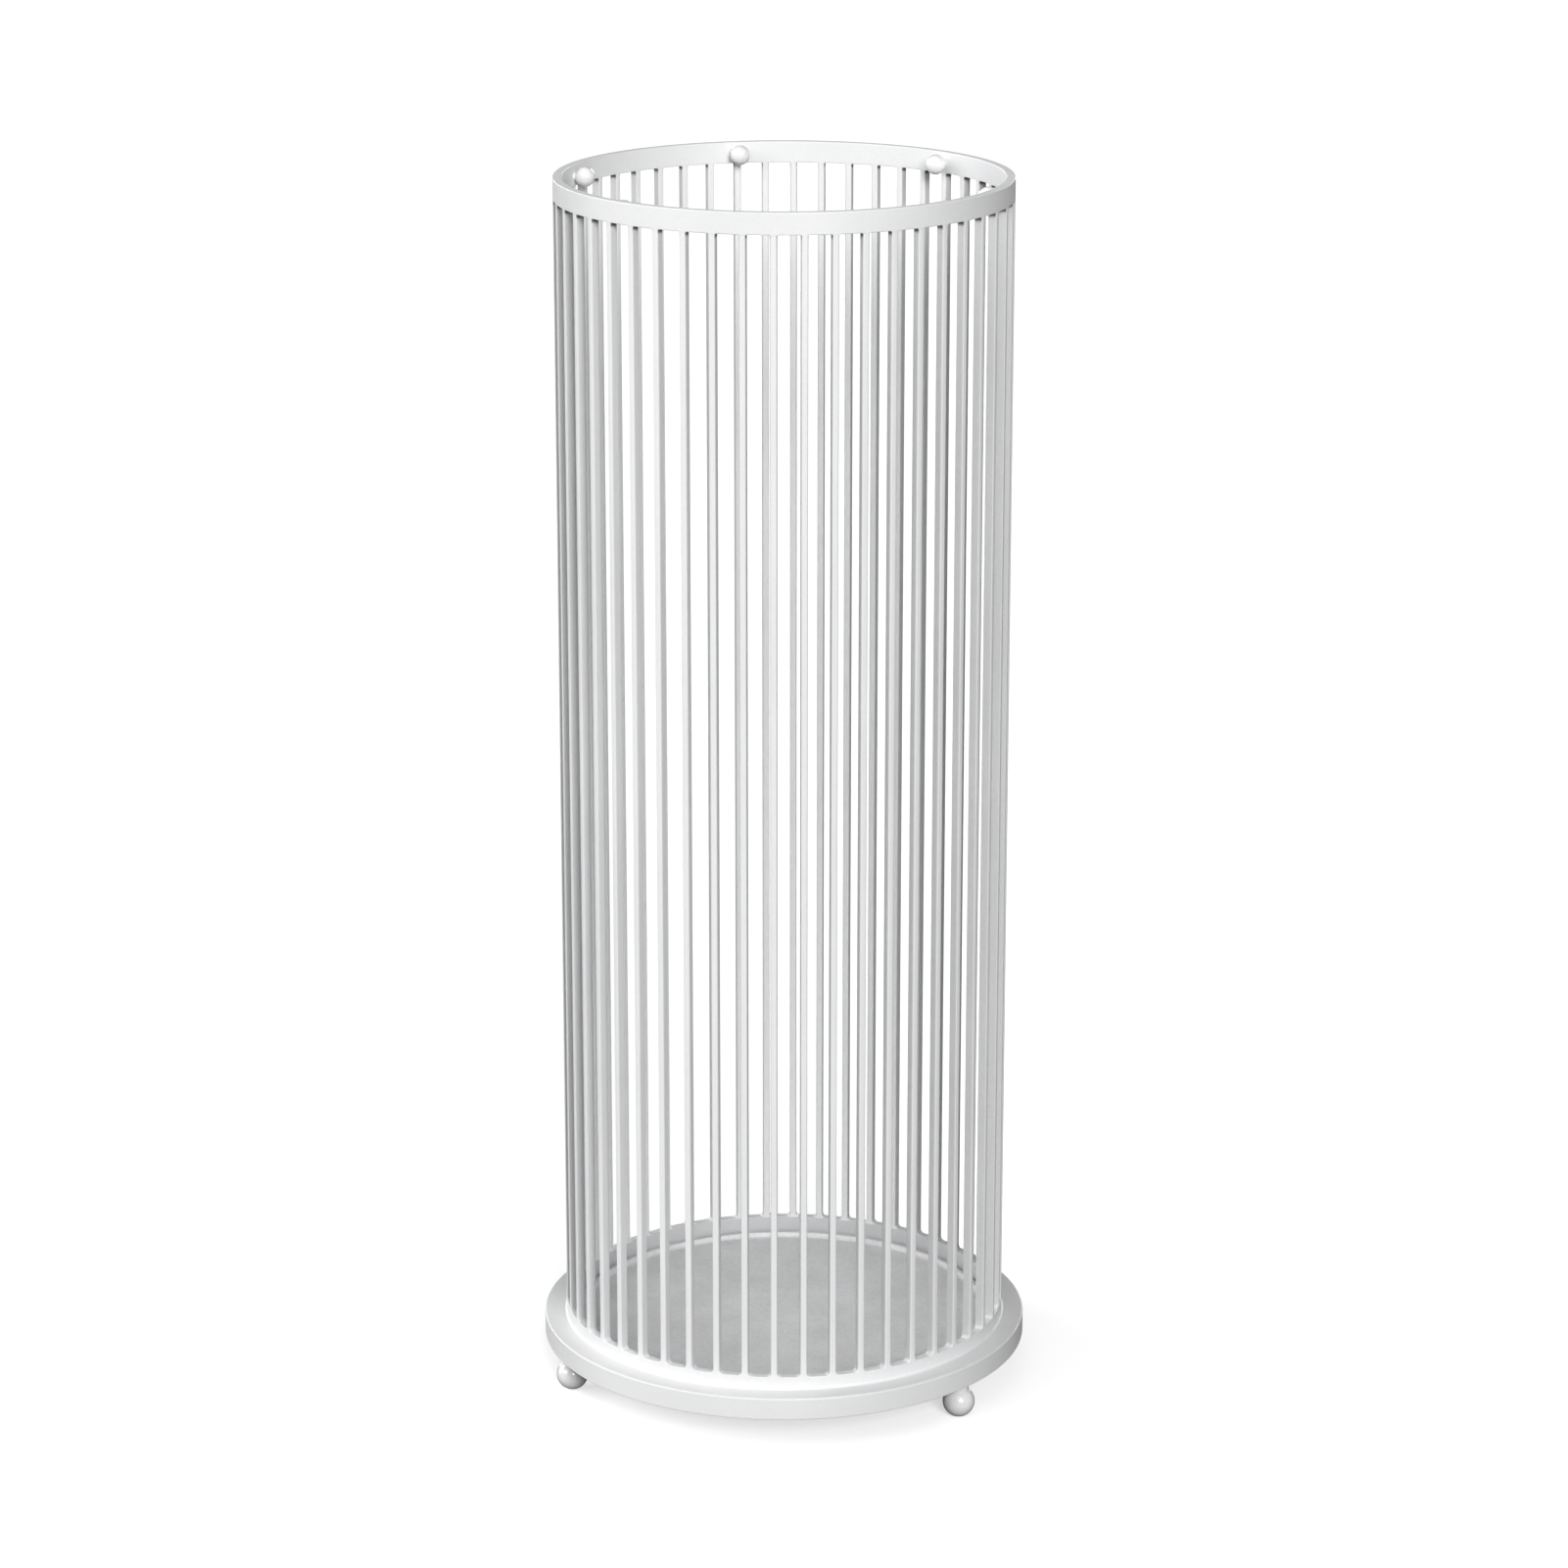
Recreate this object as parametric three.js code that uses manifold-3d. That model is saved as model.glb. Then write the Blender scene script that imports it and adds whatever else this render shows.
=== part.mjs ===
// Umbrella stand: upright flat bars welded between a band ring and a stepped base, ball hooks
// inside the ring, ball feet under the base, and a loose drip tray lying in the base.
// Millimetres, +Z up. The origin is on the stand's axis at floor level, and -Y is the front.

import * as THREE from 'three';
import { mergeVertices } from 'three/addons/utils/BufferGeometryUtils.js';
import Module from 'manifold-3d';

const wasm = await Module();
wasm.setup();

// Overall sizes
const overallHeight = 550;
const cageDiameter = 200;

// Band ring at the top
const ringHeight = 9.5;
const ringThickness = 4;

// Upright bars
const barCount = 48;
const barWidth = 3;
const barDepth = 4;

// Stepped base: an outer flange, a raised hoop that carries the bars, and a floor plate whose
// underside is recessed into the flange
const flangeOverhang = 10;
const flangeThickness = 10;
const hoopHeight = 6;
const coveRadius = 1.2;
const basePlateThickness = 3;
const basePlateRecess = 3;

// Ball feet, each on a neck with a stud that screws up into the flange
const footCount = 3;
const footAngle = 37.5;
const footBallDiameter = 14.4;
const footFlatDiameter = 4;
const footNeckDiameter = 9;
const footNeckLength = 2.4;
const footStudDiameter = 6;
const footStudLength = 6;
const footEdgeMargin = 0.3;

// Ball hooks for wrist loops, each on a peg set in the band ring's inner face
const hookCount = 6;
const hookBallDiameter = 8.8;
const hookPegDiameter = 3.6;
const hookPegDepth = 2.6;
const hookTopMargin = 0.8;

// Drip tray
const trayHeight = 3.2;
const traySheet = 1;
const trayLipOverhang = 1.2;
const trayCornerRadius = 1.6;

// Clearances
const trayClearance = 1.5;
const pinClearance = 0.3;
const hookBallGap = 0.3;

// Facets around each turned shape
const ringSegments = 2 * barCount;
const footSegments = 24;
const hookSegments = 18;
const ballArcSteps = 9;
const cornerArcSteps = 3;

// Radii and heights that follow from the sizes above
const cageRadius = cageDiameter / 2;
const ringInnerRadius = cageRadius - ringThickness;
const barMidRadius = cageRadius - barDepth / 2;
const hoopInnerRadius = cageRadius - Math.max(ringThickness, barDepth);
const flangeRadius = cageRadius + flangeOverhang;

const footBallRadius = footBallDiameter / 2;
const footBallCentre = Math.sqrt(footBallRadius ** 2 - (footFlatDiameter / 2) ** 2);
const footClearHeight = footBallCentre + footBallRadius + footNeckLength;
const footPitchRadius = flangeRadius - footEdgeMargin - footBallRadius;

const flangeTop = footClearHeight + flangeThickness;
const hoopTop = flangeTop + hoopHeight;
const basePlateUnderside = footClearHeight + basePlateRecess;
const basePlateTop = basePlateUnderside + basePlateThickness;
const ringBottom = overallHeight - ringHeight;
const trayTop = basePlateTop + trayHeight;

const hookBallRadius = hookBallDiameter / 2;
const hookCentreRadius = ringInnerRadius - hookBallGap - hookBallRadius;
const hookCentreHeight = overallHeight - hookTopMargin - hookBallRadius;

const mergeTolerance = 1e-4;
const cutterOverrun = 2;

// ---------------------------------------------------------------- shape helpers

// Points of an arc in the profile plane, from one angle to the other, both ends included.
function arcPoints(centreX, centreY, radius, startAngle, endAngle, steps) {
  const points = [];
  for (let step = 0; step <= steps; step += 1) {
    const angle = startAngle + ((endAngle - startAngle) * step) / steps;
    points.push([centreX + radius * Math.cos(angle), centreY + radius * Math.sin(angle)]);
  }
  return points;
}

// A solid of revolution about Z. The profile runs anticlockwise as [radius, height] pairs, and
// starts and ends on the axis or closes on its first point.
function turned(profile, segments) {
  const points = profile.map(([radius, height]) => new THREE.Vector2(Math.max(radius, 0), height));
  const geometry = new THREE.LatheGeometry(points, segments);
  geometry.rotateX(Math.PI / 2);
  return geometry;
}

function toSolid(geometry) {
  const bare = geometry.clone();
  bare.deleteAttribute('normal');
  bare.deleteAttribute('uv');
  const merged = mergeVertices(bare, mergeTolerance);
  const index = merged.index.array;
  const triangles = [];
  for (let start = 0; start < index.length; start += 3) {
    const [a, b, c] = [index[start], index[start + 1], index[start + 2]];
    if (a !== b && b !== c && c !== a) {
      triangles.push(a, b, c);
    }
  }
  const mesh = new wasm.Mesh({
    numProp: 3,
    vertProperties: new Float32Array(merged.attributes.position.array),
    triVerts: new Uint32Array(triangles),
  });
  return new wasm.Manifold(mesh);
}

function toGeometry(solid) {
  const { vertProperties, triVerts } = solid.getMesh();
  const geometry = new THREE.BufferGeometry();
  geometry.setAttribute('position', new THREE.BufferAttribute(new Float32Array(vertProperties), 3));
  geometry.setIndex(new THREE.BufferAttribute(new Uint32Array(triVerts), 1));
  geometry.computeVertexNormals();
  return geometry;
}

function cutAll(geometry, cutters) {
  const solid = cutters.reduce((left, cutter) => left.subtract(toSolid(cutter)), toSolid(geometry));
  return toGeometry(solid);
}

// Angle in radians of one of a number of equal places around the axis, counted from the front.
function placeAngle(place, count, firstDegrees) {
  return THREE.MathUtils.degToRad(firstDegrees) + (2 * Math.PI * place) / count;
}

// ---------------------------------------------------------------- materials

function powderCoat() {
  return new THREE.MeshStandardMaterial({ color: 0xe9eaeb, roughness: 0.45, metalness: 0.0 });
}

function glossEnamel() {
  return new THREE.MeshStandardMaterial({ color: 0xf0f0f1, roughness: 0.25, metalness: 0.0 });
}

function trayCoat() {
  return new THREE.MeshStandardMaterial({ color: 0xd6d8da, roughness: 0.55, metalness: 0.0 });
}

// ---------------------------------------------------------------- assembly

const group = new THREE.Group();

function addMesh(parent, name, geometry, material) {
  const mesh = new THREE.Mesh(geometry, material);
  mesh.name = name;
  parent.add(mesh);
  return mesh;
}

// A group turned about Z, so that what is placed on its -Y side stands at the given angle.
function turnedGroup(angle) {
  const place = new THREE.Group();
  place.rotation.z = angle;
  group.add(place);
  return place;
}

// ---- Band ring, with one blind hole in its inner face for each hook's peg

function ringGeometry() {
  const profile = [
    [ringInnerRadius, ringBottom],
    [cageRadius, ringBottom],
    [cageRadius, overallHeight],
    [ringInnerRadius, overallHeight],
    [ringInnerRadius, ringBottom],
  ];
  const holeRadius = hookPegDiameter / 2 + pinClearance;
  const holeEnd = ringInnerRadius + hookPegDepth + pinClearance;
  const holeLength = hookPegDepth + pinClearance + cutterOverrun;
  const cutters = [];
  for (let hook = 0; hook < hookCount; hook += 1) {
    const cutter = new THREE.CylinderGeometry(holeRadius, holeRadius, holeLength, hookSegments);
    cutter.translate(0, holeLength / 2 - holeEnd, hookCentreHeight);
    cutter.rotateZ(placeAngle(hook, hookCount, 0));
    cutters.push(cutter);
  }
  return cutAll(turned(profile, ringSegments), cutters);
}

addMesh(group, 'top_ring', ringGeometry(), powderCoat());

// ---- Upright bars, butted between the hoop and the band ring

const barLength = ringBottom - hoopTop;
for (let bar = 0; bar < barCount; bar += 1) {
  const place = turnedGroup(placeAngle(bar, barCount, 0));
  const name = `bar_${String(bar + 1).padStart(2, '0')}`;
  const mesh = addMesh(place, name, new THREE.BoxGeometry(barWidth, barDepth, barLength), powderCoat());
  mesh.position.set(0, -barMidRadius, hoopTop + barLength / 2);
}

// ---- Stepped base, with a blind hole under the flange for each foot's stud

function baseGeometry() {
  const cove = arcPoints(
    cageRadius + coveRadius, flangeTop + coveRadius, coveRadius, -Math.PI / 2, -Math.PI, cornerArcSteps,
  );
  const profile = [
    [0, basePlateUnderside],
    [hoopInnerRadius, basePlateUnderside],
    [hoopInnerRadius, footClearHeight],
    [flangeRadius, footClearHeight],
    [flangeRadius, flangeTop],
    ...cove,
    [cageRadius, hoopTop],
    [hoopInnerRadius, hoopTop],
    [hoopInnerRadius, basePlateTop],
    [0, basePlateTop],
  ];
  const holeRadius = footStudDiameter / 2 + pinClearance;
  const holeTop = footClearHeight + footStudLength + pinClearance;
  const holeLength = footStudLength + pinClearance + cutterOverrun;
  const cutters = [];
  for (let foot = 0; foot < footCount; foot += 1) {
    const cutter = new THREE.CylinderGeometry(holeRadius, holeRadius, holeLength, footSegments);
    cutter.rotateX(Math.PI / 2);
    cutter.translate(0, -footPitchRadius, holeTop - holeLength / 2);
    cutter.rotateZ(placeAngle(foot, footCount, footAngle));
    cutters.push(cutter);
  }
  return cutAll(turned(profile, ringSegments), cutters);
}

addMesh(group, 'base_ring', baseGeometry(), powderCoat());

// ---- Ball feet

function footGeometry() {
  const neckRadius = footNeckDiameter / 2;
  const studRadius = footStudDiameter / 2;
  const flatAngle = -Math.acos(footFlatDiameter / footBallDiameter);
  const neckAngle = Math.acos(neckRadius / footBallRadius);
  const profile = [
    [0, 0],
    ...arcPoints(0, footBallCentre, footBallRadius, flatAngle, neckAngle, ballArcSteps),
    [neckRadius, footClearHeight],
    [studRadius, footClearHeight],
    [studRadius, footClearHeight + footStudLength],
    [0, footClearHeight + footStudLength],
  ];
  return turned(profile, footSegments);
}

for (let foot = 0; foot < footCount; foot += 1) {
  const place = turnedGroup(placeAngle(foot, footCount, footAngle));
  const mesh = addMesh(place, `ball_foot_${foot + 1}`, footGeometry(), glossEnamel());
  mesh.position.set(0, -footPitchRadius, 0);
}

// ---- Ball hooks, each turned about a horizontal axis that points into the ring

function hookGeometry() {
  const pegRadius = hookPegDiameter / 2;
  const pegAngle = Math.acos(pegRadius / hookBallRadius);
  const pegEnd = hookBallRadius + hookBallGap + hookPegDepth;
  const profile = [
    ...arcPoints(0, 0, hookBallRadius, -Math.PI / 2, pegAngle, ballArcSteps),
    [pegRadius, pegEnd],
    [0, pegEnd],
  ];
  const geometry = turned(profile, hookSegments);
  geometry.rotateX(Math.PI / 2);
  return geometry;
}

for (let hook = 0; hook < hookCount; hook += 1) {
  const place = turnedGroup(placeAngle(hook, hookCount, 0));
  const mesh = addMesh(place, `hook_ball_${hook + 1}`, hookGeometry(), glossEnamel());
  mesh.position.set(0, -hookCentreRadius, hookCentreHeight);
}

// ---- Drip tray, lying loose on the base plate inside the hoop

function trayGeometry() {
  const lipRadius = hoopInnerRadius - trayClearance;
  const wallOuter = lipRadius - trayLipOverhang;
  const wallInner = wallOuter - traySheet;
  const innerCorner = trayCornerRadius - traySheet;
  const cornerRadiusOut = wallOuter - trayCornerRadius;
  const cornerHeight = basePlateTop + trayCornerRadius;
  const profile = [
    [0, basePlateTop],
    ...arcPoints(cornerRadiusOut, cornerHeight, trayCornerRadius, -Math.PI / 2, 0, cornerArcSteps),
    [wallOuter, trayTop - traySheet],
    [lipRadius, trayTop - traySheet],
    [lipRadius, trayTop],
    [wallInner, trayTop],
    ...arcPoints(cornerRadiusOut, cornerHeight, innerCorner, 0, -Math.PI / 2, cornerArcSteps),
    [0, basePlateTop + traySheet],
  ];
  return turned(profile, ringSegments);
}

addMesh(group, 'drip_tray', trayGeometry(), trayCoat());

export default group;
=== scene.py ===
import math

import bmesh
import bpy
from mathutils import Matrix, Vector


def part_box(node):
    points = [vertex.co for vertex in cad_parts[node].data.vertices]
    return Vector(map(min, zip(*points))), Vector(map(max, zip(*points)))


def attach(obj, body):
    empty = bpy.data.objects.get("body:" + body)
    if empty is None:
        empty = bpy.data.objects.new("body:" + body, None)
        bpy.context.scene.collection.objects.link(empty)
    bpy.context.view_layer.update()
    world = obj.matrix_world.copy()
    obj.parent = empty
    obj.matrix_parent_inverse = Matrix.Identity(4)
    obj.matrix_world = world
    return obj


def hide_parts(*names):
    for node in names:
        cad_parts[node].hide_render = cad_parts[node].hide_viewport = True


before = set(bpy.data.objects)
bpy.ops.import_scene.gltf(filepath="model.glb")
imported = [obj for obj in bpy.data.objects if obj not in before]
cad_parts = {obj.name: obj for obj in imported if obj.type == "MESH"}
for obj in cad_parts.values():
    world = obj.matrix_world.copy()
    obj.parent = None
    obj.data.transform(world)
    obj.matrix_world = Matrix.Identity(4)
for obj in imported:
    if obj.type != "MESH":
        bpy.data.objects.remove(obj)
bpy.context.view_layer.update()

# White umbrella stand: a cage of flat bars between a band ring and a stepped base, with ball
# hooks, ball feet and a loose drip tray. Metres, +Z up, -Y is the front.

# ------------------------------------------------------------------ sizes

# Read from the frame
bars = sorted(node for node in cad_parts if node.startswith("bar_"))
feet = sorted(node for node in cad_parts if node.startswith("ball_foot_"))
hooks = sorted(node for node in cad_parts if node.startswith("hook_ball_"))

ring_low, ring_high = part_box("top_ring")
front_bar_low, front_bar_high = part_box("bar_01")
base_low, base_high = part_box("base_ring")
tray_low, tray_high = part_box("drip_tray")

CAGE_RADIUS = -ring_low.y
BAR_WIDTH = front_bar_high.x - front_bar_low.x
BAR_DEPTH = front_bar_high.y - front_bar_low.y
INNER_RADIUS = CAGE_RADIUS - BAR_DEPTH
FLANGE_RADIUS = -base_low.y
TRAY_LIP_RADIUS = -tray_low.y

# Sizes of the base and the tray between their outer faces
FLANGE_THICKNESS = 0.010
BASE_PLATE_THICKNESS = 0.003
TRAY_SHEET = 0.001
TRAY_LIP_OVERHANG = 0.0012
TRAY_CORNER_RADIUS = 0.0016
TRAY_INNER_FILLET = 0.0018

# Balls
FOOT_BALL_RADIUS = 0.0072
FOOT_FLAT_RADIUS = 0.002
FOOT_NECK_RADIUS = 0.0045
HOOK_BALL_RADIUS = 0.0044
HOOK_PEG_RADIUS = 0.0018
HOOK_TOP_MARGIN = 0.0008
HOOK_BALL_GAP = 0.0003
HOOK_PEG_DEPTH = 0.0024

# Rounding that the coat leaves on cut edges, and the weld fillets
CUT_EDGE = 0.0004
BAR_EDGE = 0.0007
FLANGE_EDGE = 0.0007
COVE_RADIUS = 0.0012
SEAT_FILLET = 0.0006
FOOT_WELD = 0.0018
HEAD_WELD = 0.0006
WELD_SINK = 0.0006

# Fineness of the meshes
RING_STEPS = 192
EDGE_SEGMENTS = 3
WELD_STEPS = 4
BALL_SEGMENTS = 48
BALL_RINGS = 32
SHARP_ANGLE = math.radians(50)
SAME_PLACE = 1e-6
ON_CORNER = 1e-5

# ------------------------------------------------------------------ making pieces


def finished(shape, name, body, nodes, finish):
    """Turn a bmesh into a smooth-shaded piece that rides on a body in place of its CAD nodes."""
    mesh = bpy.data.meshes.new(name)
    shape.to_mesh(mesh)
    shape.free()
    mesh.materials.append(finish)
    mesh.shade_smooth()
    mesh.set_sharp_from_angle(angle=SHARP_ANGLE)
    piece = bpy.data.objects.new(name, mesh)
    bpy.context.scene.collection.objects.link(piece)
    weights = piece.modifiers.new("face weighted normals", "WEIGHTED_NORMAL")
    weights.keep_sharp = True
    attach(piece, body)
    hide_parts(*nodes)


def spun(outline, closed):
    """Spin an outline of (radius, height) corners a full turn about Z. An open one ends on the axis."""
    shape = bmesh.new()
    corners = [shape.verts.new((radius, 0.0, height)) for radius, height in outline]
    for start, end in zip(corners, corners[1:]):
        shape.edges.new((start, end))
    if closed:
        shape.edges.new((corners[-1], corners[0]))
    bmesh.ops.spin(
        shape, geom=shape.verts[:] + shape.edges[:], cent=(0, 0, 0), axis=(0, 0, 1),
        angle=math.tau, steps=RING_STEPS, use_merge=True,
    )
    bmesh.ops.remove_doubles(shape, verts=shape.verts, dist=SAME_PLACE)
    bmesh.ops.recalc_face_normals(shape, faces=shape.faces)
    return shape


def round_corner(shape, radius, height, size):
    """Round the circular edge of a spun shape that runs through one corner of its outline."""
    def on_corner(vert):
        return abs(vert.co.xy.length - radius) < ON_CORNER and abs(vert.co.z - height) < ON_CORNER

    edges = [edge for edge in shape.edges if all(on_corner(vert) for vert in edge.verts)]
    bmesh.ops.bevel(
        shape, geom=edges, offset=size, offset_type="OFFSET", affect="EDGES",
        segments=EDGE_SEGMENTS, profile=0.5, material=-1, clamp_overlap=True,
    )


def stand_at(shape, angle):
    """Turn a shape made at the front to its own angle about the stand's axis."""
    bmesh.ops.transform(shape, matrix=Matrix.Rotation(angle, 4, "Z"), verts=shape.verts)


def even_angle(place, count):
    """Angle about the axis, from the front, of one place out of a number spread evenly round it."""
    return math.tau * place / count


# ------------------------------------------------------------------ finishes

GRAINS_PER_RIPPLE = 4.0
GRAIN_SHARE = 0.3
CLEAR_COAT_ROUGHNESS = 0.12

# Dust that settles on top, and how much rougher it makes a coat
DUST = (0.55, 0.53, 0.50)
DUST_PATCHES_PER_METRE = 45.0
DUST_ROUGHNESS = 0.3

# Painted shade: the colour is darkened in the base's well, on the bars' sides and in the corners under
# the band, where shade falls
WELL_PAINTED_SHADE = (0.55, 0.555, 0.56)
CORNER_PAINTED_SHADE = (0.09, 0.09, 0.093)
SIDE_PAINTED_SHADE_SHARE = 0.27
CORNER_REACH = 0.0026


def node_group(name, inputs, outputs):
    """An empty shader node group with its named sockets, and its two end nodes."""
    group = bpy.data.node_groups.new(name, "ShaderNodeTree")
    for socket, kind, value in inputs:
        made = group.interface.new_socket(name=socket, in_out="INPUT", socket_type=kind)
        made.default_value = value
    for socket, kind in outputs:
        group.interface.new_socket(name=socket, in_out="OUTPUT", socket_type=kind)
    return group, group.nodes.new("NodeGroupInput"), group.nodes.new("NodeGroupOutput")


def noise(tree, coordinates, scale, detail, roughness):
    """A noise texture whose scale comes from a socket."""
    texture = tree.nodes.new("ShaderNodeTexNoise")
    texture.inputs["Detail"].default_value = detail
    texture.inputs["Roughness"].default_value = roughness
    tree.links.new(scale, texture.inputs["Scale"])
    tree.links.new(coordinates, texture.inputs["Vector"])
    return texture.outputs["Fac"]


def remap(tree, value, low, high, to_low, to_high):
    """Map a value from one range to another, clamped."""
    node = tree.nodes.new("ShaderNodeMapRange")
    node.inputs["From Min"].default_value = low
    node.inputs["From Max"].default_value = high
    node.inputs["To Min"].default_value = to_low
    node.inputs["To Max"].default_value = to_high
    tree.links.new(value, node.inputs["Value"])
    return node.outputs["Result"]


def math_node(tree, operation, *values):
    """A math node on sockets or numbers."""
    node = tree.nodes.new("ShaderNodeMath")
    node.operation = operation
    for socket, value in zip(node.inputs, values):
        if isinstance(value, (int, float)):
            socket.default_value = value
        else:
            tree.links.new(value, socket)
    return node.outputs[0]


def orange_peel_group():
    """Height of a sprayed coat: soft ripples with a finer grain on top."""
    group, start, end = node_group(
        "orange_peel",
        [("Ripples per metre", "NodeSocketFloat", 700.0), ("Grain share", "NodeSocketFloat", 0.3)],
        [("Height", "NodeSocketFloat")],
    )
    place = group.nodes.new("ShaderNodeTexCoord").outputs["Object"]
    finer = math_node(group, "MULTIPLY", start.outputs["Ripples per metre"], GRAINS_PER_RIPPLE)
    ripples = noise(group, place, start.outputs["Ripples per metre"], detail=2.0, roughness=0.5)
    grain = noise(group, place, finer, detail=3.0, roughness=0.6)
    fine = math_node(group, "MULTIPLY", grain, start.outputs["Grain share"])
    group.links.new(math_node(group, "ADD", ripples, fine), end.inputs["Height"])
    return group


def coat_tone_group():
    """Colour of a coat that varies a little: broad cloudiness and small specks."""
    group, start, end = node_group(
        "coat_tone",
        [
            ("Light tone", "NodeSocketColor", (0.8, 0.8, 0.8, 1.0)),
            ("Dark tone", "NodeSocketColor", (0.7, 0.7, 0.7, 1.0)),
            ("Clouds per metre", "NodeSocketFloat", 14.0),
            ("Specks per metre", "NodeSocketFloat", 900.0),
            ("Speck share", "NodeSocketFloat", 0.35),
        ],
        [("Color", "NodeSocketColor")],
    )
    place = group.nodes.new("ShaderNodeTexCoord").outputs["Object"]
    clouds = noise(group, place, start.outputs["Clouds per metre"], detail=5.0, roughness=0.55)
    specks = noise(group, place, start.outputs["Specks per metre"], detail=2.0, roughness=0.5)
    broad = remap(group, clouds, 0.35, 0.7, 0.0, 0.75)
    mottle = remap(group, specks, 0.45, 0.7, 0.0, 1.0)
    small = math_node(group, "MULTIPLY", mottle, start.outputs["Speck share"])
    mix = group.nodes.new("ShaderNodeMix")
    mix.data_type = "RGBA"
    group.links.new(math_node(group, "ADD", broad, small), mix.inputs["Factor"])
    group.links.new(start.outputs["Light tone"], mix.inputs["A"])
    group.links.new(start.outputs["Dark tone"], mix.inputs["B"])
    group.links.new(mix.outputs["Result"], end.inputs["Color"])
    return group


def dust_group():
    """Mask of thin dust that settles in patches on faces that look up."""
    group, start, end = node_group(
        "settled_dust",
        [("Patches per metre", "NodeSocketFloat", 40.0), ("Amount", "NodeSocketFloat", 0.3)],
        [("Mask", "NodeSocketFloat")],
    )
    place = group.nodes.new("ShaderNodeTexCoord").outputs["Object"]
    patches = noise(group, place, start.outputs["Patches per metre"], detail=6.0, roughness=0.65)
    split = group.nodes.new("ShaderNodeSeparateXYZ")
    group.links.new(group.nodes.new("ShaderNodeNewGeometry").outputs["Normal"], split.inputs[0])
    upward = remap(group, split.outputs["Z"], 0.6, 0.95, 0.0, 1.0)
    patchy = remap(group, patches, 0.4, 0.7, 0.2, 1.0)
    settled = math_node(group, "MULTIPLY", upward, patchy)
    group.links.new(math_node(group, "MULTIPLY", settled, start.outputs["Amount"]), end.inputs["Mask"])
    return group


def painted_corner_shade_group():
    """Mask of painted shade between the bars: faint on their sides, strong in the corners on top, where
    the band shades them.
    """
    group, start, end = node_group(
        "painted_corner_shade",
        [
            ("Corner height", "NodeSocketFloat", 0.54),
            ("Reach", "NodeSocketFloat", 0.002),
            ("Side share", "NodeSocketFloat", 0.2),
        ],
        [("Mask", "NodeSocketFloat")],
    )
    place = group.nodes.new("ShaderNodeTexCoord").outputs["Object"]
    height = group.nodes.new("ShaderNodeSeparateXYZ")
    group.links.new(place, height.inputs[0])
    gap = math_node(group, "SUBTRACT", start.outputs["Corner height"], height.outputs["Z"])
    share = math_node(group, "DIVIDE", gap, start.outputs["Reach"])
    near = remap(group, share, 0.35, 1.0, 1.0, 0.0)
    around = group.nodes.new("ShaderNodeVectorMath")
    around.operation = "CROSS_PRODUCT"
    around.inputs[0].default_value = (0.0, 0.0, 1.0)
    group.links.new(place, around.inputs[1])
    along = group.nodes.new("ShaderNodeVectorMath")
    along.operation = "NORMALIZE"
    group.links.new(around.outputs["Vector"], along.inputs[0])
    facing = group.nodes.new("ShaderNodeVectorMath")
    facing.operation = "DOT_PRODUCT"
    group.links.new(along.outputs["Vector"], facing.inputs[0])
    group.links.new(group.nodes.new("ShaderNodeNewGeometry").outputs["Normal"], facing.inputs[1])
    share_sideways = math_node(group, "ABSOLUTE", facing.outputs["Value"])
    sideways = remap(group, share_sideways, 0.6, 0.95, 0.0, 1.0)
    # Painted shade: strongest in the corners under the band, at least the side share on the bars'
    # sides.
    shade_strength = math_node(group, "MAXIMUM", near, start.outputs["Side share"])
    group.links.new(math_node(group, "MULTIPLY", shade_strength, sideways), end.inputs["Mask"])
    return group


ORANGE_PEEL = orange_peel_group()
COAT_TONE = coat_tone_group()
SETTLED_DUST = dust_group()
CORNER_SHADE_GROUP = painted_corner_shade_group()


def placed_group(tree, group, **values):
    """Put a node group in a material, with its own values. Underscores stand for spaces."""
    node = tree.nodes.new("ShaderNodeGroup")
    node.node_tree = group
    for name, value in values.items():
        node.inputs[name.replace("_", " ")].default_value = value
    return node


def inside_mask(tree, radius):
    """One inside an upright cylinder about the stand's axis and nought outside it."""
    flat = tree.nodes.new("ShaderNodeVectorMath")
    flat.operation = "MULTIPLY"
    flat.inputs[1].default_value = (1.0, 1.0, 0.0)
    tree.links.new(tree.nodes.new("ShaderNodeTexCoord").outputs["Object"], flat.inputs[0])
    length = tree.nodes.new("ShaderNodeVectorMath")
    length.operation = "LENGTH"
    tree.links.new(flat.outputs["Vector"], length.inputs[0])
    return remap(tree, length.outputs["Value"], radius, radius + CUT_EDGE, 1.0, 0.0)


def tinted(tree, color, mask, tint):
    """A colour, with another over it where a mask says."""
    mix = tree.nodes.new("ShaderNodeMix")
    mix.data_type = "RGBA"
    mix.inputs["B"].default_value = (*tint, 1.0)
    tree.links.new(mask, mix.inputs["Factor"])
    tree.links.new(color, mix.inputs["A"])
    return mix.outputs["Result"]


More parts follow.
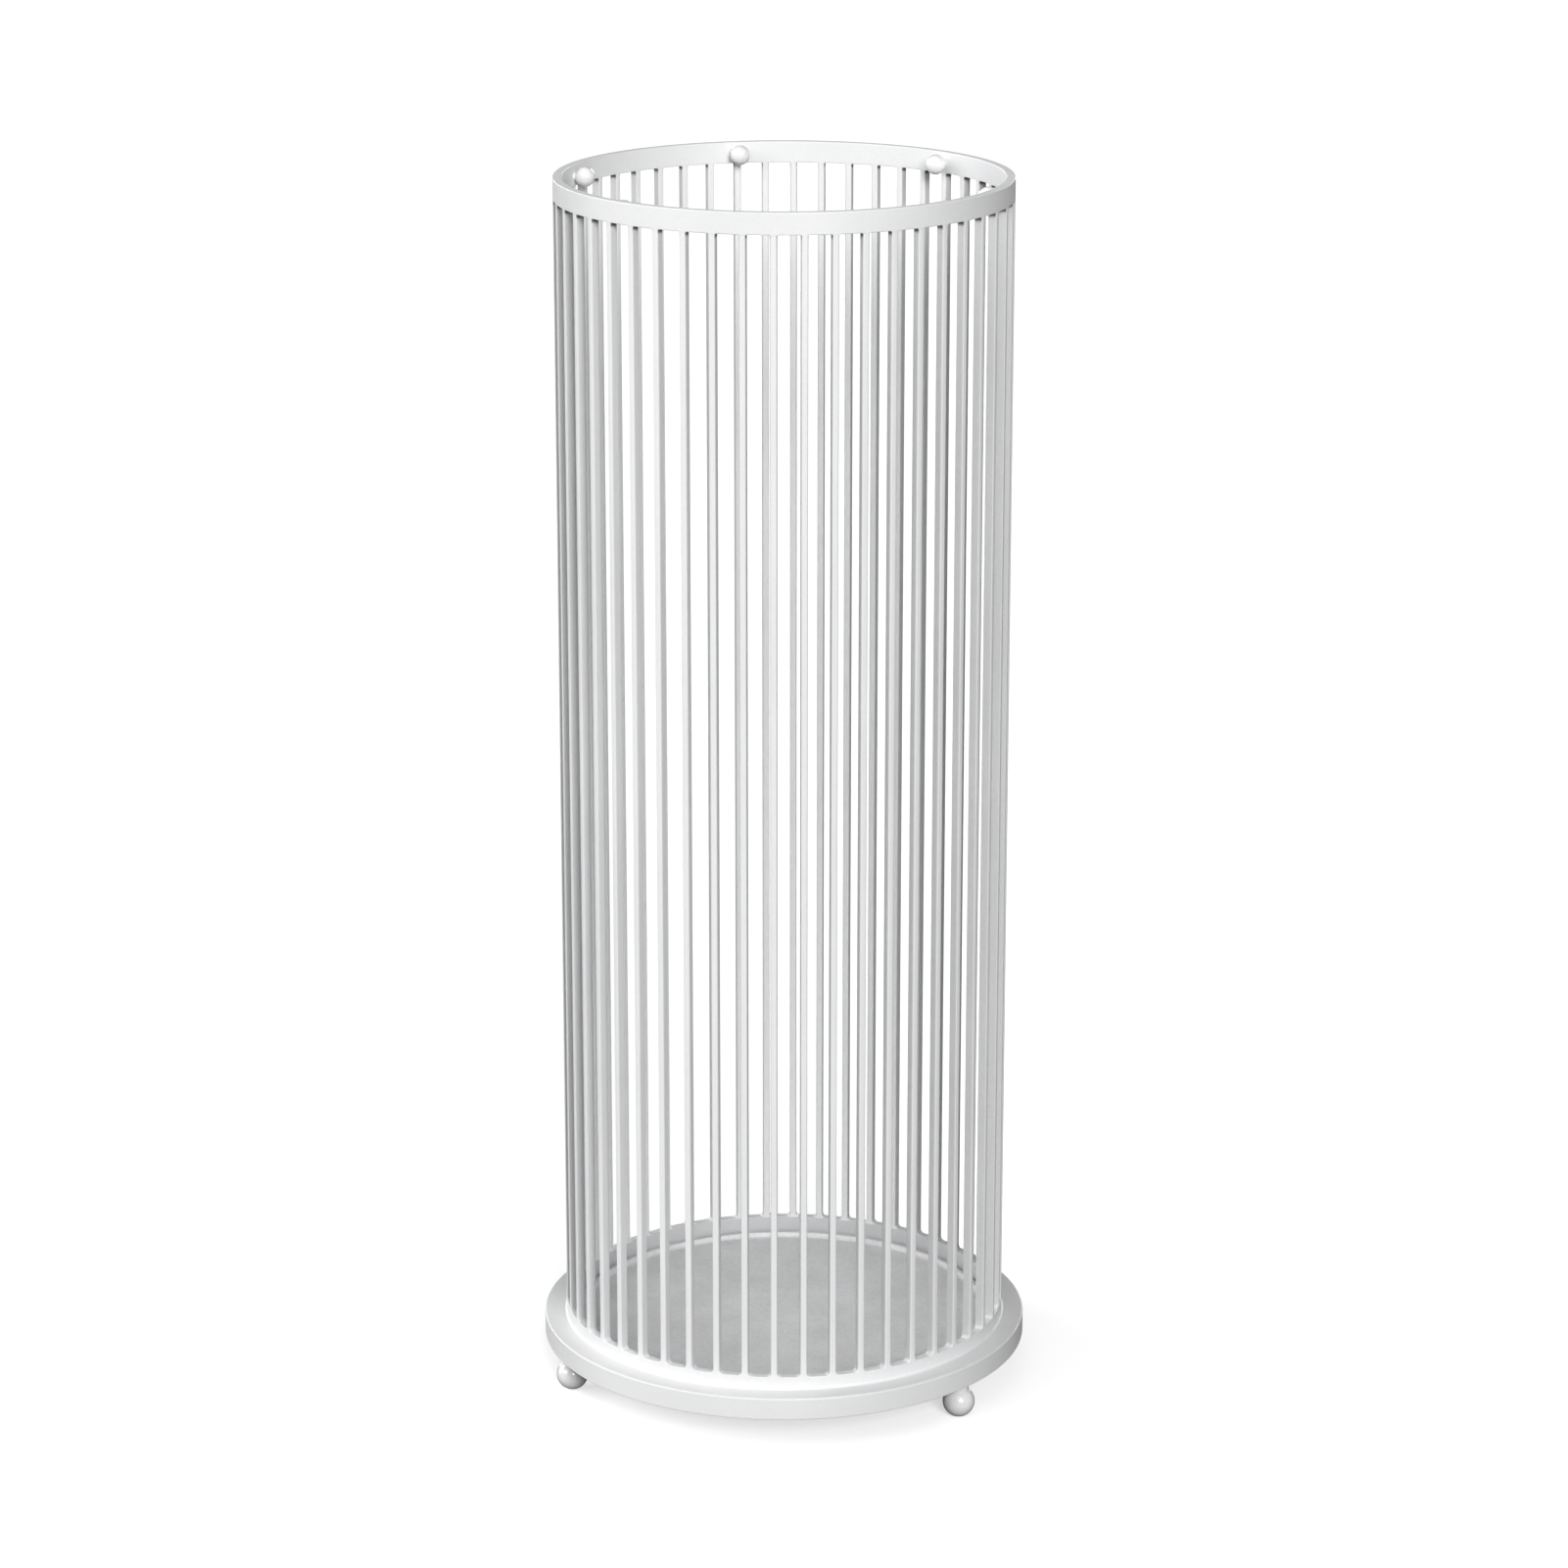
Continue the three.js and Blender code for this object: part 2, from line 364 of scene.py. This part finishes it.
def coated_metal(
    name, light, dark, clouds, specks, speck_share, roughness, gloss_coat, ripples, ripple_depth, dust,
    painted_shade_well_radius=None, painted_shade_under_height=None,
):
    """A painted or powder-coated metal. Painted shade darkens it inside a well and between the bars."""
    material = bpy.data.materials.new(name)
    material.use_nodes = True
    tree = material.node_tree
    shader = tree.nodes["Principled BSDF"]
    shader.inputs["Coat Weight"].default_value = gloss_coat
    shader.inputs["Coat Roughness"].default_value = CLEAR_COAT_ROUGHNESS

    tone = placed_group(
        tree, COAT_TONE, Light_tone=(*light, 1.0), Dark_tone=(*dark, 1.0), Clouds_per_metre=clouds,
        Specks_per_metre=specks, Speck_share=speck_share,
    )
    dusting = placed_group(
        tree, SETTLED_DUST, Patches_per_metre=DUST_PATCHES_PER_METRE, Amount=dust,
    )
    color = tone.outputs["Color"]
    # Painted shade: darker colour inside the well, where shade falls.
    if painted_shade_well_radius:
        color = tinted(tree, color, inside_mask(tree, painted_shade_well_radius), WELL_PAINTED_SHADE)
    # Painted shade: darker colour on the bars' sides and in the corners under the band.
    if painted_shade_under_height:
        corner = placed_group(
            tree, CORNER_SHADE_GROUP, Corner_height=painted_shade_under_height, Reach=CORNER_REACH, Side_share=SIDE_PAINTED_SHADE_SHARE,
        )
        color = tinted(tree, color, corner.outputs["Mask"], CORNER_PAINTED_SHADE)
    color = tinted(tree, color, dusting.outputs["Mask"], DUST)
    tree.links.new(color, shader.inputs["Base Color"])

    peel = placed_group(tree, ORANGE_PEEL, Ripples_per_metre=ripples, Grain_share=GRAIN_SHARE)
    sheen = remap(tree, peel.outputs["Height"], 0.4, 0.9, roughness - 0.05, roughness + 0.06)
    dulled = math_node(tree, "MULTIPLY", dusting.outputs["Mask"], DUST_ROUGHNESS)
    tree.links.new(math_node(tree, "ADD", sheen, dulled), shader.inputs["Roughness"])

    bump = tree.nodes.new("ShaderNodeBump")
    bump.inputs["Strength"].default_value = 1.0
    bump.inputs["Distance"].default_value = ripple_depth
    tree.links.new(peel.outputs["Height"], bump.inputs["Height"])
    tree.links.new(bump.outputs["Normal"], shader.inputs["Normal"])
    return material


POWDER_LOOK = {
    "light": (0.77, 0.772, 0.776),
    "dark": (0.715, 0.718, 0.723),
    "clouds": 16.0,
    "specks": 900.0,
    "speck_share": 0.35,
    "roughness": 0.42,
    "gloss_coat": 0.0,
    "ripples": 750.0,
    "ripple_depth": 0.00006,
    "dust": 0.10,
}

# The band's and bars' coat carries painted shade on the bars' sides and under the band.
powder_coat = coated_metal("white powder coat", **POWDER_LOOK, painted_shade_under_height=front_bar_high.z)
# The base's coat carries painted shade in its well.
base_coat = coated_metal("white powder coat on the base", **POWDER_LOOK, painted_shade_well_radius=INNER_RADIUS)
ball_enamel = coated_metal(
    "gloss white enamel", light=(0.84, 0.84, 0.845), dark=(0.79, 0.79, 0.795), clouds=60.0,
    specks=2000.0, speck_share=0.2, roughness=0.16, gloss_coat=0.8, ripples=500.0,
    ripple_depth=0.00003, dust=0.05,
)
tray_coat = coated_metal(
    "light grey tray coat", light=(0.73, 0.735, 0.74), dark=(0.61, 0.615, 0.62), clouds=40.0,
    specks=620.0, speck_share=0.55, roughness=0.55, gloss_coat=0.0, ripples=600.0,
    ripple_depth=0.0001, dust=0.22,
)

# ------------------------------------------------------------------ band ring


def make_top_ring():
    """The flat band that the bars hang from, with lightly rounded edges."""
    outline = [
        (INNER_RADIUS, ring_low.z),
        (CAGE_RADIUS, ring_low.z),
        (CAGE_RADIUS, ring_high.z),
        (INNER_RADIUS, ring_high.z),
    ]
    shape = spun(outline, closed=True)
    for radius, height in outline:
        round_corner(shape, radius, height, CUT_EDGE)
    finished(shape, "band_ring", "stand", ["top_ring"], powder_coat)


# ------------------------------------------------------------------ bars


def weld_steps(size):
    """Height and side growth at each step up a fillet, from the plate to the plain bar."""
    angles = [math.pi / 2 * step / WELD_STEPS for step in range(WELD_STEPS + 1)]
    return [(size * (1 - math.cos(angle)), size * (1 - math.sin(angle))) for angle in angles]


def bar_sections():
    """(height, side growth) of each section of a bar, from its foot weld to its head weld."""
    foot = [(front_bar_low.z + rise, growth) for rise, growth in weld_steps(FOOT_WELD)]
    head = [(front_bar_high.z - rise, growth) for rise, growth in weld_steps(HEAD_WELD)]
    sunk_foot = (front_bar_low.z - WELD_SINK, FOOT_WELD)
    sunk_head = (front_bar_high.z + WELD_SINK, HEAD_WELD)
    return [sunk_foot, *foot, *reversed(head), sunk_head]


def make_bar(node, angle):
    """A flat bar with rounded long edges, flared at both ends by its weld fillets."""
    shape = bmesh.new()
    bmesh.ops.create_grid(shape, x_segments=1, y_segments=1, size=0.5)
    bmesh.ops.scale(shape, vec=(BAR_WIDTH, BAR_DEPTH, 1), verts=shape.verts)
    bmesh.ops.bevel(
        shape, geom=shape.verts[:], offset=BAR_EDGE, offset_type="OFFSET", affect="VERTICES",
        segments=EDGE_SEGMENTS, profile=0.5, material=-1,
    )
    (height, growth), *later = bar_sections()
    width = BAR_WIDTH + 2 * growth
    middle = (front_bar_low.y + front_bar_high.y) / 2
    bmesh.ops.scale(shape, vec=(width / BAR_WIDTH, 1, 1), verts=shape.verts)
    bmesh.ops.translate(shape, vec=(0, middle, height), verts=shape.verts)
    end = shape.faces[:]
    for next_height, growth in later:
        made = bmesh.ops.extrude_face_region(shape, geom=end)["geom"]
        moved = [item for item in made if isinstance(item, bmesh.types.BMVert)]
        end = [item for item in made if isinstance(item, bmesh.types.BMFace)]
        next_width = BAR_WIDTH + 2 * growth
        bmesh.ops.translate(shape, vec=(0, 0, next_height - height), verts=moved)
        bmesh.ops.scale(shape, vec=(next_width / width, 1, 1), verts=moved)
        height = next_height
        width = next_width
    bmesh.ops.recalc_face_normals(shape, faces=shape.faces)
    stand_at(shape, angle)
    finished(shape, f"flat_{node}", "stand", [node], powder_coat)


# ------------------------------------------------------------------ base


def make_base():
    """The stepped base: flange, coved hoop that carries the bars, and sunk floor plate."""
    flange_top = base_low.z + FLANGE_THICKNESS
    plate_top = tray_low.z
    plate_under = plate_top - BASE_PLATE_THICKNESS
    outline = [
        (0, plate_under),
        (INNER_RADIUS, plate_under),
        (INNER_RADIUS, base_low.z),
        (FLANGE_RADIUS, base_low.z),
        (FLANGE_RADIUS, flange_top),
        (CAGE_RADIUS, flange_top),
        (CAGE_RADIUS, base_high.z),
        (INNER_RADIUS, base_high.z),
        (INNER_RADIUS, plate_top),
        (0, plate_top),
    ]
    shape = spun(outline, closed=False)
    round_corner(shape, INNER_RADIUS, plate_under, SEAT_FILLET)
    round_corner(shape, INNER_RADIUS, base_low.z, CUT_EDGE)
    round_corner(shape, FLANGE_RADIUS, base_low.z, CUT_EDGE)
    round_corner(shape, FLANGE_RADIUS, flange_top, FLANGE_EDGE)
    round_corner(shape, CAGE_RADIUS, flange_top, COVE_RADIUS)
    round_corner(shape, CAGE_RADIUS, base_high.z, CUT_EDGE)
    round_corner(shape, INNER_RADIUS, base_high.z, CUT_EDGE)
    round_corner(shape, INNER_RADIUS, plate_top, SEAT_FILLET)
    finished(shape, "stepped_base", "stand", ["base_ring"], base_coat)


# ------------------------------------------------------------------ drip tray


def make_tray():
    """The loose tray: a pressed dish with a rolled lip."""
    wall_outer = TRAY_LIP_RADIUS - TRAY_LIP_OVERHANG
    wall_inner = wall_outer - TRAY_SHEET
    lip_under = tray_high.z - TRAY_SHEET
    floor_top = tray_low.z + TRAY_SHEET
    outline = [
        (0, tray_low.z),
        (wall_outer, tray_low.z),
        (wall_outer, lip_under),
        (TRAY_LIP_RADIUS, lip_under),
        (TRAY_LIP_RADIUS, tray_high.z),
        (wall_inner, tray_high.z),
        (wall_inner, floor_top),
        (0, floor_top),
    ]
    shape = spun(outline, closed=False)
    round_corner(shape, wall_outer, tray_low.z, TRAY_CORNER_RADIUS)
    round_corner(shape, wall_inner, floor_top, TRAY_INNER_FILLET)
    round_corner(shape, TRAY_LIP_RADIUS, lip_under, CUT_EDGE)
    round_corner(shape, TRAY_LIP_RADIUS, tray_high.z, CUT_EDGE)
    round_corner(shape, wall_inner, tray_high.z, CUT_EDGE)
    finished(shape, "dished_tray", "tray", ["drip_tray"], tray_coat)


# ------------------------------------------------------------------ balls


def ball_with_stem(ball_radius, flat_radius, stem_radius, stem_top):
    """A ball about the origin, flat below where asked, with a straight stem on top."""
    shape = bmesh.new()
    bmesh.ops.create_uvsphere(
        shape, u_segments=BALL_SEGMENTS, v_segments=BALL_RINGS, radius=ball_radius,
    )

    def cut(height, side):
        bmesh.ops.bisect_plane(
            shape, geom=shape.verts[:] + shape.edges[:] + shape.faces[:], dist=SAME_PLACE,
            plane_co=(0, 0, height), plane_no=(0, 0, side), clear_outer=True,
        )
        return [
            edge for edge in shape.edges
            if edge.is_boundary and all(abs(vert.co.z - height) < ON_CORNER for vert in edge.verts)
        ]

    if flat_radius:
        rim = cut(-math.sqrt(ball_radius ** 2 - flat_radius ** 2), -1)
        bmesh.ops.contextual_create(shape, geom=rim)
    neck_height = math.sqrt(ball_radius ** 2 - stem_radius ** 2)
    rim = cut(neck_height, 1)
    made = bmesh.ops.extrude_edge_only(shape, edges=rim)["geom"]
    top_verts = [item for item in made if isinstance(item, bmesh.types.BMVert)]
    top_edges = [item for item in made if isinstance(item, bmesh.types.BMEdge)]
    bmesh.ops.translate(shape, vec=(0, 0, stem_top - neck_height), verts=top_verts)
    bmesh.ops.contextual_create(shape, geom=top_edges)
    bmesh.ops.recalc_face_normals(shape, faces=shape.faces)
    return shape


def make_foot(node):
    """A ball foot on its neck, screwed up under the flange."""
    low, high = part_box(node)
    centre_height = math.sqrt(FOOT_BALL_RADIUS ** 2 - FOOT_FLAT_RADIUS ** 2)
    stem_top = base_low.z + WELD_SINK - centre_height
    shape = ball_with_stem(FOOT_BALL_RADIUS, FOOT_FLAT_RADIUS, FOOT_NECK_RADIUS, stem_top)
    middle = (low + high) / 2
    bmesh.ops.translate(shape, vec=(middle.x, middle.y, centre_height), verts=shape.verts)
    finished(shape, f"turned_{node}", "stand", [node], ball_enamel)


def make_hook(node, angle):
    """A ball hook on a peg set in the band ring's inner face."""
    stem_top = HOOK_BALL_RADIUS + HOOK_BALL_GAP + HOOK_PEG_DEPTH
    shape = ball_with_stem(HOOK_BALL_RADIUS, 0, HOOK_PEG_RADIUS, stem_top)
    bmesh.ops.transform(shape, matrix=Matrix.Rotation(math.pi / 2, 4, "X"), verts=shape.verts)
    place = (
        0,
        HOOK_BALL_RADIUS + HOOK_BALL_GAP - INNER_RADIUS,
        ring_high.z - HOOK_TOP_MARGIN - HOOK_BALL_RADIUS,
    )
    bmesh.ops.translate(shape, vec=place, verts=shape.verts)
    stand_at(shape, angle)
    finished(shape, f"turned_{node}", "stand", [node], ball_enamel)


make_top_ring()
for place, bar_node in enumerate(bars):
    make_bar(bar_node, even_angle(place, len(bars)))
make_base()
make_tray()
for foot_node in feet:
    make_foot(foot_node)
for place, hook_node in enumerate(hooks):
    make_hook(hook_node, even_angle(place, len(hooks)))

# ------------------------------------------------------------------ studio

FLOOR_RADIUS = 30.0
FLOOR_SEEN = (0.70, 0.70, 0.70)
FLOOR_GLOW = (0.58, 0.58, 0.58)
FLOOR_BOUNCE = (0.12, 0.12, 0.12)
BACKDROP_SEEN = (0.97, 0.97, 0.97)
SURROUNDINGS = (0.065, 0.067, 0.070)
UNSEEN = (0.0, 0.0, 0.0)
FLOOR_SEGMENTS = 96
CAMERA_AZIMUTH = -12.48
CAMERA_ELEVATION = 16.1
CAMERA_DISTANCE = 2.17
CAMERA_AIM_HEIGHT = 0.2763
CAMERA_CLIP_END = 200
LENS = 111.4

# Name, azimuth from the camera's, elevation, strength and spread. Angles are in degrees, and a
# strength of one brings a white face that looks at the light to full white.
BROAD_LIGHTS = [
    ("left key", -56, 24, 0.28, 30),
    ("left fill", -105, 20, 0.60, 40),
    ("right key", 16, 24, 0.80, 24),
    ("left back light", -150, 4, 0.24, 20),
    ("right back light", 160, 4, 0.24, 20),
]

# The softbox near the top of the stand
SOFTBOX_AZIMUTH = CAMERA_AZIMUTH - 5
SOFTBOX_ELEVATION = 35
SOFTBOX_DISTANCE = 1.1
SOFTBOX_SIZE = 0.7
SOFTBOX_POWER = 3.6
SOFTBOX_AIM_HEIGHT = 0.45


def seen_or_lighting(tree, seen, lighting):
    """One colour for what the camera sees, and a darker one for the light that is thrown back."""
    mix = tree.nodes.new("ShaderNodeMix")
    mix.data_type = "RGBA"
    mix.inputs["A"].default_value = (*lighting, 1.0)
    mix.inputs["B"].default_value = (*seen, 1.0)
    tree.links.new(tree.nodes.new("ShaderNodeLightPath").outputs["Is Camera Ray"], mix.inputs["Factor"])
    return mix.outputs["Result"]


def make_floor():
    """A plain pale floor that runs out of sight."""
    shape = bmesh.new()
    bmesh.ops.create_circle(shape, cap_ends=True, segments=FLOOR_SEGMENTS, radius=FLOOR_RADIUS)
    mesh = bpy.data.meshes.new("studio_floor")
    shape.to_mesh(mesh)
    shape.free()
    paint = bpy.data.materials.new("pale floor")
    paint.use_nodes = True
    shader = paint.node_tree.nodes["Principled BSDF"]
    shader.inputs["Roughness"].default_value = 0.9
    shader.inputs["Specular IOR Level"].default_value = 0.1
    shader.inputs["Emission Strength"].default_value = 1.0
    tone = seen_or_lighting(paint.node_tree, FLOOR_SEEN, FLOOR_BOUNCE)
    glow = seen_or_lighting(paint.node_tree, FLOOR_GLOW, UNSEEN)
    paint.node_tree.links.new(tone, shader.inputs["Base Color"])
    paint.node_tree.links.new(glow, shader.inputs["Emission Color"])
    mesh.materials.append(paint)
    floor = bpy.data.objects.new("studio_floor", mesh)
    bpy.context.scene.collection.objects.link(floor)


def look_from(azimuth, elevation):
    """Unit vector from the object towards a place at that azimuth and elevation."""
    turn, rise = math.radians(azimuth), math.radians(elevation)
    return Vector((math.sin(turn) * math.cos(rise), -math.cos(turn) * math.cos(rise), math.sin(rise)))


def add_broad_light(name, azimuth, elevation, strength, spread):
    """A far, soft light that reaches the stand and the floor evenly from one side."""
    light = bpy.data.lights.new(name, "SUN")
    light.energy = strength * math.pi
    light.angle = math.radians(spread)
    lamp = bpy.data.objects.new(name, light)
    lamp.rotation_euler = look_from(azimuth, elevation).to_track_quat("Z", "Y").to_euler()
    bpy.context.scene.collection.objects.link(lamp)


def add_softbox():
    """A square softbox near the stand, aimed at the upper part of its cage."""
    light = bpy.data.lights.new("upper softbox", "AREA")
    light.energy = SOFTBOX_POWER
    light.size = SOFTBOX_SIZE
    lamp = bpy.data.objects.new("upper softbox", light)
    away = look_from(SOFTBOX_AZIMUTH, SOFTBOX_ELEVATION)
    lamp.location = Vector((0, 0, SOFTBOX_AIM_HEIGHT)) + away * SOFTBOX_DISTANCE
    lamp.rotation_euler = away.to_track_quat("Z", "Y").to_euler()
    bpy.context.scene.collection.objects.link(lamp)


def make_studio():
    """Pale surroundings, broad soft lights all round, and a softbox near the top of the stand."""
    scene = bpy.context.scene
    scene.view_settings.view_transform = "Standard"
    world = bpy.data.worlds.new("studio")
    world.use_nodes = True
    background = world.node_tree.nodes["Background"]
    tone = seen_or_lighting(world.node_tree, BACKDROP_SEEN, SURROUNDINGS)
    world.node_tree.links.new(tone, background.inputs["Color"])
    scene.world = world
    for name, azimuth, elevation, strength, spread in BROAD_LIGHTS:
        add_broad_light(name, CAMERA_AZIMUTH + azimuth, elevation, strength, spread)
    add_softbox()


def make_camera():
    """The camera, a little above the stand and to the left of its front."""
    lens = bpy.data.cameras.new("camera")
    lens.lens = LENS
    lens.clip_end = CAMERA_CLIP_END
    camera = bpy.data.objects.new("camera", lens)
    away = look_from(CAMERA_AZIMUTH, CAMERA_ELEVATION)
    camera.location = Vector((0, 0, CAMERA_AIM_HEIGHT)) + away * CAMERA_DISTANCE
    camera.rotation_euler = away.to_track_quat("Z", "Y").to_euler()
    bpy.context.scene.collection.objects.link(camera)
    bpy.context.scene.camera = camera


make_floor()
make_studio()
make_camera()
